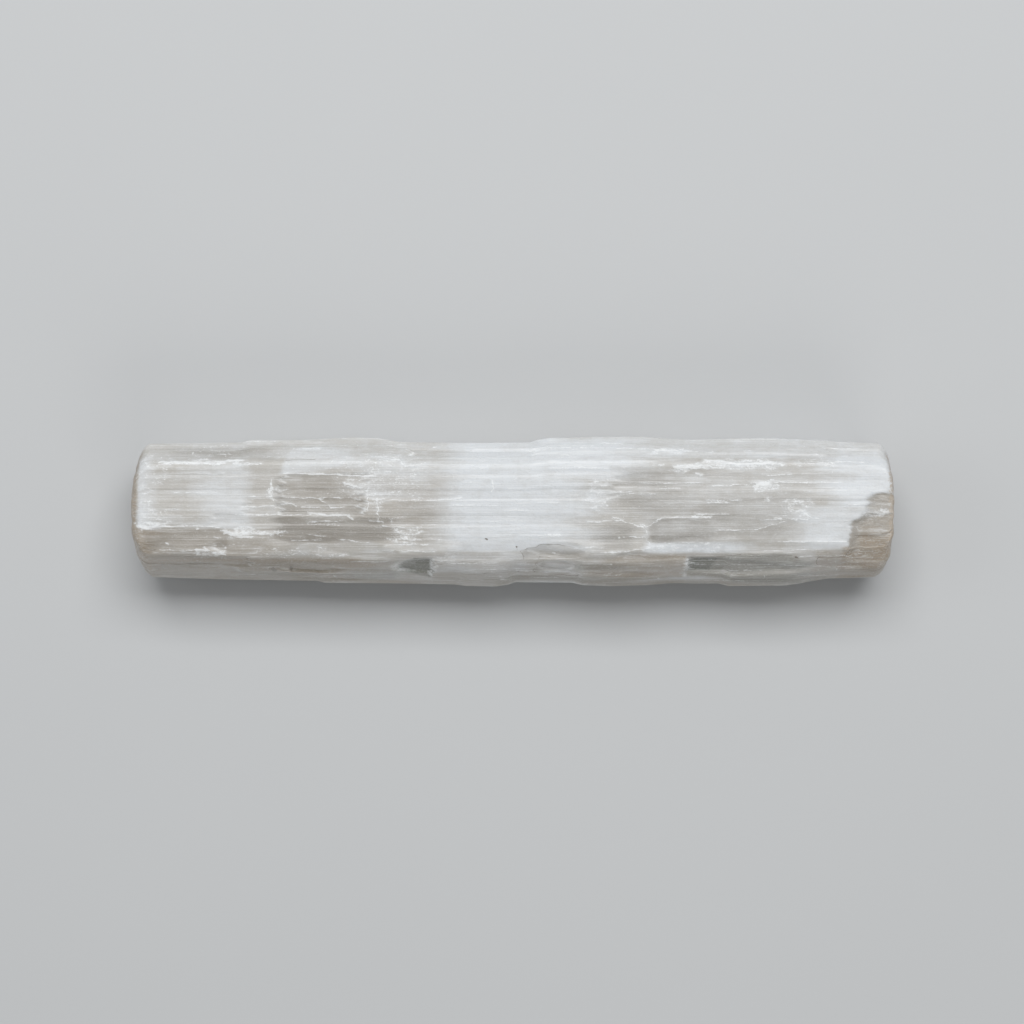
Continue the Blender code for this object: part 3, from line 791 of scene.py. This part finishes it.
def blade_form():
    """The fine surface as a grid of points, with the masks at each of them."""
    rows = ring_places()
    girth, x = np.meshgrid(column_girths(), rows[:, 0])
    scale, facing = rows[:, 1:2], rows[:, 2:3]
    y, z, across, up = section_points(girth)
    seen = seen_girth(x, y, z, girth)
    jag = noises(0.0 * x, y, z, JAGS)
    bends = noises(x, y, z, BENDS_ALONG), noises(x, y, z, BENDS_ROUND)

    length, width, height = UNEVENNESS
    relief = height * fibre_noise(x, y, z, length, width, 0) + strip_relief(x, girth, jag)
    relief = relief * outline_damping(girth) + plate_relief(x, girth, jag)
    relief -= arris_wear(x, y, z, girth)
    ledge = rise(abs(np.gradient(relief, axis=0)), *LEDGE_STEPS)
    fine = splinter_relief(x, girth, jag) + noises(x, y, z, FIBRES)
    relief += fine * (1.0 - UPPER_CALM * rise(z, *CALM_HEIGHTS))
    threads, cracks = line_marks(x + bends[0], seen + bends[1])
    relief += THREAD_LIFT * smooth(threads[0] / LINE_SLOPE + 0.5)
    relief -= CRACK_DEPTH * smooth(cracks[0] / LINE_SLOPE + 0.5)
    relief += BASE_FLATNESS * smooth(1.0 - z / BASE_HEIGHT)
    relief *= 1.0 - rise(facing, *RELIEF_FADE)
    broken_off, past_edge = break_relief(x, y, jag)
    broken_off *= rise(z, *BREAK_HEIGHTS)
    broken = smooth(-broken_off / BREAK_SHOWS)
    relief += broken_off + broken * noises(x, y, z, BREAK_GRAIN)

    masks = area_masks(x, y, z, seen, bends, facing, broken, past_edge)
    for name, (reach, width, offset) in (("thread", threads), ("crack", cracks)):
        masks |= {name: reach, name + "_width": width, name + "_offset": offset}
    masks |= {"ledge": ledge, "broken": broken, "end": facing + 0.0 * x}

    y = y * outline_scale(x, y) + relief * across
    z = np.maximum(z + relief * up, 0.0)
    y, z = y * scale, HEIGHT / 2 + (z - HEIGHT / 2) * (1.0 - (1.0 - scale) ** END_STEEPNESS)
    y, z = rounder_rings(y, z, smooth((1.0 - scale) / END_ROUNDING))
    grain = np.zeros_like(x)
    for size, depth in ((GRAIN_SIZE, GRAIN_DEPTH), FINE_GRAIN):
        grain += depth * (0.5 + 0.5 * fibre_noise(0.0 * x, y, z, 1.0, size, GRAIN_SEED))
    x = x - np.sign(x) * grain * facing
    points = np.stack([x, y, z], -1)
    low, high = points.min((0, 1)), points.max((0, 1))
    size = np.array([LENGTH, WIDTH, HEIGHT])
    points = (points - (low + high) / 2) * size / (high - low)
    points[..., 2] += HEIGHT / 2
    return points, masks


def build_blade(points, masks):
    """The mesh through the grid, closed at both tips, with its masks as attributes."""
    rings, columns = points.shape[:2]
    tips = points[[0, -1]].mean(1)
    coordinates = np.concatenate([points.reshape(-1, 3), tips]) * MM
    n = np.arange(columns)
    m = (n + 1) % columns
    start = columns * np.arange(rings - 1)[:, None]
    quads = np.stack([start + n, start + columns + n, start + columns + m, start + m], -1)
    last = columns * (rings - 1)
    left_fan = np.stack([n, m, np.full_like(n, rings * columns)], -1)
    right_fan = np.stack([last + m, last + n, np.full_like(n, rings * columns + 1)], -1)
    faces = quads.reshape(-1, 4).tolist() + left_fan.tolist() + right_fan.tolist()
    mesh = bpy.data.meshes.new("blade_surface")
    mesh.from_pydata(coordinates.tolist(), [], faces)
    mesh.update()
    mesh.shade_smooth()
    for name, mask in masks.items():
        values = np.concatenate([mask.ravel(), mask[[0, -1]].mean(1)])
        attribute = mesh.attributes.new(name, "FLOAT", "POINT")
        attribute.data.foreach_set("value", values.astype(np.float32))
    blade = bpy.data.objects.new("selenite", mesh)
    bpy.context.scene.collection.objects.link(blade)
    return blade


class Graph:
    """Short ways to add shader nodes to one material."""

    def __init__(self, name):
        self.material = bpy.data.materials.new(name)
        self.material.use_nodes = True
        self.tree = self.material.node_tree
        self.shader = self.tree.nodes["Principled BSDF"]

    def plug(self, socket, value):
        """Sets a socket, or links another node's output to it."""
        if isinstance(value, bpy.types.NodeSocket):
            self.tree.links.new(value, socket)
        else:
            socket.default_value = value

    def math(self, operation, a, b=0.0, clamp=False):
        """The result of a sum on one or two values."""
        node = self.tree.nodes.new("ShaderNodeMath")
        node.operation = operation
        node.use_clamp = clamp
        self.plug(node.inputs[0], a)
        self.plug(node.inputs[1], b)
        return node.outputs[0]

    def ramp(self, value, low, high, to_low=0.0, to_high=1.0):
        """A smooth step of value from low to high."""
        node = self.tree.nodes.new("ShaderNodeMapRange")
        node.interpolation_type = "SMOOTHSTEP"
        for number, part in enumerate((value, low, high, to_low, to_high)):
            self.plug(node.inputs[number], part)
        return node.outputs[0]

    def mask(self, name):
        """One of the mesh's masks."""
        node = self.tree.nodes.new("ShaderNodeAttribute")
        node.attribute_name = name
        return node.outputs["Fac"]

    def line(self, name, ragged, softness):
        """Where the lines called name are: sharper than the mesh, as their offsets run straight."""
        offset = self.math("ABSOLUTE", self.mask(name + "_offset"))
        inside = self.math("ADD", self.math("SUBTRACT", self.mask(name + "_width"), offset), ragged)
        near = self.ramp(self.mask(name), -0.30, -0.16)
        return self.math("MULTIPLY", self.ramp(inside, -softness, softness), near)

    def fibres(self, length, width, seed, detail=2.0, roughness=0.5):
        """Noise drawn out along the blade; sizes in millimetres."""
        place = self.tree.nodes.new("ShaderNodeTexCoord")
        mapping = self.tree.nodes.new("ShaderNodeMapping")
        texture = self.tree.nodes.new("ShaderNodeTexNoise")
        self.plug(mapping.inputs["Vector"], place.outputs["Object"])
        mapping.inputs["Location"].default_value = (seed * 3.1, seed * 1.7, seed * 2.3)
        mapping.inputs["Scale"].default_value = (1 / (length * MM), 1 / (width * MM), 1 / (width * MM))
        self.plug(texture.inputs["Vector"], mapping.outputs["Vector"])
        texture.inputs["Scale"].default_value = 1.0
        texture.inputs["Detail"].default_value = detail
        texture.inputs["Roughness"].default_value = roughness
        return texture.outputs["Fac"]

    def blend(self, factor, first, second):
        """Colour first where factor is 0, second where it is 1."""
        node = self.tree.nodes.new("ShaderNodeMix")
        node.data_type = "RGBA"
        self.plug(node.inputs["Factor"], factor)
        self.plug(node.inputs["A"], first)
        self.plug(node.inputs["B"], second)
        return node.outputs["Result"]


def selenite_material():
    """Milky gypsum: hazy veils with painted sheen, windows, painted shade in the darkest ones and on
    the front bevel, frost and stains, all drawn out along the fibres.
    """
    g = Graph("selenite_satin_spar")
    broad = g.fibres(60.0, 1.3, 1, 2.0)
    middle = g.fibres(26.0, 0.32, 2, 3.0, 0.6)
    hairs = g.fibres(36.0, 0.15, 3, 1.0)
    clouds = g.fibres(9.0, 2.6, 4, 4.0, 0.6)
    mottle = g.fibres(2.4, 0.9, 5, 3.0, 0.6)
    flakes = g.fibres(1.7, 0.55, 6, 5.0, 0.72)
    grains = g.fibres(0.45, 0.28, 9, 3.0, 0.65)
    waves = g.fibres(45.0, 0.75, 7, 2.0, 0.55)
    thin = g.ramp(g.math("ABSOLUTE", g.math("SUBTRACT", waves, 0.5)), 0.008, 0.030, 1.0, 0.0)

    # haze and painted sheen: white veils in the gypsum, with a broad painted glow of satin sheen
    haze_and_sheen = g.math("ADD", g.mask("haze_and_sheen"), g.math("MULTIPLY", g.mask("frosted"), 0.30))
    haze_and_sheen = g.math("ADD", haze_and_sheen, g.ramp(g.mask("thread"), -0.7, 0.0, 0.0, 0.12))
    haze_and_sheen = g.math("ADD", haze_and_sheen, g.ramp(clouds, 0.35, 0.70, -0.10, 0.14))
    haze_and_sheen = g.math("ADD", haze_and_sheen, g.ramp(mottle, 0.35, 0.65, -0.07, 0.07))
    haze_and_sheen = g.math("ADD", haze_and_sheen, g.ramp(g.fibres(3.0, 9.0, 10, 2.0), 0.46, 0.54, -0.04, 0.04))
    haze_and_sheen = g.math("ADD", haze_and_sheen, g.ramp(broad, 0.3, 0.7, -0.035, 0.035), clamp=True)
    colour = g.blend(haze_and_sheen, MILKY, WHITE_HAZE_AND_SHEEN)
    clear = g.math("MULTIPLY", g.mask("clear"), g.ramp(clouds, 0.30, 0.62, 1.25, 0.65), clamp=True)
    colour = g.blend(clear, colour, CLEAR_GREY)
    # stain, which on the front bevel is partly painted shade
    stain_and_shade = g.math("MULTIPLY", g.mask("stain_and_shade"), g.ramp(clouds, 0.3, 0.7, 1.0, 0.75))
    stain_and_shade = g.math("MULTIPLY", stain_and_shade, g.ramp(grains, 0.35, 0.65, 1.0, 0.75), clamp=True)
    colour = g.blend(stain_and_shade, colour, STAIN_AND_SHADE_TAN)
    # painted shade: the deepest windows and the bevel bands darkened grey-green
    deep_shade = g.math("MULTIPLY", g.mask("deep_shade"), g.ramp(grains, 0.35, 0.65, 1.0, 0.75))
    colour = g.blend(deep_shade, colour, DEEP_SHADE_GREEN)

    depth = g.math("ADD", g.math("MULTIPLY", clear, 0.04), g.ramp(haze_and_sheen, 0.1, 0.9, 0.05, 0.015))
    depth = g.math("ADD", depth, g.math("MULTIPLY", stain_and_shade, 0.12))
    dark = g.math("MULTIPLY", g.ramp(middle, 0.48, 0.36), depth)
    colour = g.blend(dark, colour, SILK_DARK)
    calm = g.ramp(clear, 0.0, 0.8, 1.0, 0.5)
    light = g.math("MULTIPLY", g.ramp(hairs, 0.56, 0.66), g.ramp(mottle, 0.35, 0.65, 0.12, 0.42))
    colour = g.blend(g.math("MULTIPLY", light, calm), colour, SILK_LIGHT)
    thin = g.math("MULTIPLY", thin, g.ramp(clouds, 0.40, 0.66, 0.05, 0.46))
    colour = g.blend(g.math("MULTIPLY", thin, calm), colour, SILK_LIGHT)
    shade = g.math("MULTIPLY", g.ramp(hairs, 0.43, 0.33), g.ramp(haze_and_sheen, 0.1, 0.9, 0.07, 0.03))
    colour = g.blend(shade, colour, SILK_DARK)
    colour = g.blend(g.ramp(grains, 0.56, 0.70, 0.0, 0.24), colour, SILK_LIGHT)
    colour = g.blend(g.ramp(grains, 0.44, 0.30, 0.0, 0.18), colour, SILK_DARK)

    flaky = g.math("ADD", g.math("MULTIPLY", flakes, 0.6), g.math("MULTIPLY", grains, 0.4))
    ragged = g.ramp(flaky, 0.38, 0.62, -0.09, 0.05)
    flaky = g.math("ADD", flaky, g.math("MULTIPLY", g.mask("frosted"), 0.18))
    threads = g.line("thread", ragged, 0.06)
    # frost on snapped ledges: partly real frost, partly painted light over the risers' shade
    ledge_frost_and_light = g.math("MULTIPLY", g.mask("ledge"), g.ramp(flaky, 0.36, 0.54, 0.1, 1.0))
    frost = g.math("MAXIMUM", threads, g.math("MAXIMUM", g.ramp(flaky, 0.59, 0.74), ledge_frost_and_light))
    frost = g.math("MULTIPLY", frost, g.ramp(flakes, 0.35, 0.62, 0.38, 0.84))
    colour = g.blend(frost, colour, FROST_WHITE)
    crack = g.math("MULTIPLY", g.line("crack", g.math("MULTIPLY", ragged, 0.3), 0.05), 0.85)
    colour = g.blend(crack, colour, CRACK_BROWN)

    crumbs = g.fibres(0.5, 0.5, 8, 4.0, 0.7)
    tips = g.math("ADD", g.mask("end"), g.ramp(crumbs, 0.35, 0.65, -0.14, 0.14))
    tips = g.ramp(tips, 0.62, 0.76)
    colour = g.blend(g.math("MULTIPLY", tips, g.ramp(grains, 0.35, 0.65, 0.50, 0.95)), colour, END_TAN)
    pits = g.math("MULTIPLY", g.ramp(crumbs, 0.50, 0.38), g.ramp(mottle, 0.40, 0.60, 0.10, 0.45))
    colour = g.blend(g.math("MULTIPLY", tips, pits), colour, CRACK_BROWN)
    g.plug(g.shader.inputs["Base Color"], colour)

    satin = g.math("ADD", g.ramp(middle, 0.3, 0.7, 0.36, 0.50), g.math("MULTIPLY", frost, 0.25))
    g.plug(g.shader.inputs["Roughness"], g.math("SUBTRACT", satin, g.math("MULTIPLY", clear, 0.08)))
    g.plug(g.shader.inputs["Transmission Weight"], g.ramp(clear, 0.0, 1.0, 0.08, 0.30))
    g.shader.inputs["IOR"].default_value = GYPSUM_IOR
    g.shader.inputs["Subsurface Weight"].default_value = SCATTER_WEIGHT
    g.shader.inputs["Subsurface Radius"].default_value = SCATTER_RADIUS
    g.shader.inputs["Subsurface Scale"].default_value = SCATTER_SCALE * MM

    bump = None
    rough = g.math("MAXIMUM", g.mask("broken"), g.ramp(g.mask("end"), 0.4, 0.8))
    gritty = g.math("MULTIPLY", grains, g.math("ADD", g.math("MULTIPLY", rough, 4.0), 0.4))
    for height, distance in ((middle, 0.05), (hairs, 0.03), (flaky, 0.05), (gritty, 0.06)):
        node = g.tree.nodes.new("ShaderNodeBump")
        node.inputs["Strength"].default_value = BUMP_STRENGTH
        node.inputs["Distance"].default_value = distance * MM
        g.plug(node.inputs["Height"], height)
        if bump:
            g.plug(node.inputs["Normal"], bump)
        bump = node.outputs["Normal"]
    g.plug(g.shader.inputs["Normal"], bump)
    return g.material


def floor_material():
    """A matt, pale grey with a faint unevenness."""
    g = Graph("pale_floor")
    mottle = g.fibres(60.0, 60.0, 9, 3.0)
    shade = [c * 0.985 for c in FLOOR_GREY[:3]] + [1.0]
    g.plug(g.shader.inputs["Base Color"], g.blend(mottle, shade, FLOOR_GREY))
    g.shader.inputs["Roughness"].default_value = 0.9
    g.shader.inputs["Specular IOR Level"].default_value = 0.2
    return g.material


def make_floor():
    """A plain pale floor."""
    mesh = bpy.data.meshes.new("floor")
    corners = [(FLOOR_HALF * x, FLOOR_HALF * y, 0.0) for x, y in ((-1, -1), (1, -1), (1, 1), (-1, 1))]
    mesh.from_pydata(corners, [], [(0, 1, 2, 3)])
    mesh.materials.append(floor_material())
    floor = bpy.data.objects.new("floor", mesh)
    floor.location.z = -FLOOR_GAP
    bpy.context.scene.collection.objects.link(floor)


def aim(thing, target):
    """Turns a light or the camera towards a place."""
    thing.rotation_euler = (Vector(target) - thing.location).to_track_quat("-Z", "Y").to_euler()


def make_lights():
    """A large window behind and above the blade, a weak light at the left, a weak fill from
    the front, and an even sky."""
    for name, place, size, power, colour in LIGHTS:
        data = bpy.data.lights.new(name, "AREA")
        data.shape = "RECTANGLE"
        data.size, data.size_y = size
        data.energy = power
        data.color = colour
        light = bpy.data.objects.new(name, data)
        light.location = place
        bpy.context.scene.collection.objects.link(light)
        aim(light, MIDDLE)
    world = bpy.data.worlds.new("studio")
    world.use_nodes = True
    world.node_tree.nodes["Background"].inputs["Color"].default_value = SKY
    world.node_tree.nodes["Background"].inputs["Strength"].default_value = SKY_STRENGTH
    bpy.context.scene.world = world


def make_camera():
    """Nearly straight above, as in the photograph, with 0.2 mm to a pixel of its 1024."""
    data = bpy.data.cameras.new("camera")
    data.lens = 85.0
    data.sensor_width = 36.0
    data.clip_end = 20.0
    camera = bpy.data.objects.new("camera", data)
    top = 0.012
    width_seen = 0.2048
    away = width_seen * data.lens / data.sensor_width
    tilt = math.radians(1.0)
    camera.location = (0.0, -away * math.sin(tilt), top + away * math.cos(tilt))
    bpy.context.scene.collection.objects.link(camera)
    aim(camera, (0.0, 0.0, top))
    bpy.context.scene.camera = camera


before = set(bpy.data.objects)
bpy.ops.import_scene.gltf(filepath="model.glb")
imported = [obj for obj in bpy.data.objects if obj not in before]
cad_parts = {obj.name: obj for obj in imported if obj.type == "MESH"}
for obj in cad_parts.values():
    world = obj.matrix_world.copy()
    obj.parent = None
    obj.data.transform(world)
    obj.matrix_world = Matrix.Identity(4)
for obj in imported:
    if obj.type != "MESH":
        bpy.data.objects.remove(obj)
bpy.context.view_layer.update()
LENGTH, WIDTH, HEIGHT = (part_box(NODE)[1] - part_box(NODE)[0]) / MM
make_camera()
make_lights()
make_floor()

blade = build_blade(*blade_form())
blade.data.materials.append(selenite_material())
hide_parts(NODE)
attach(blade, "root")

bpy.context.scene.view_settings.view_transform = "Standard"
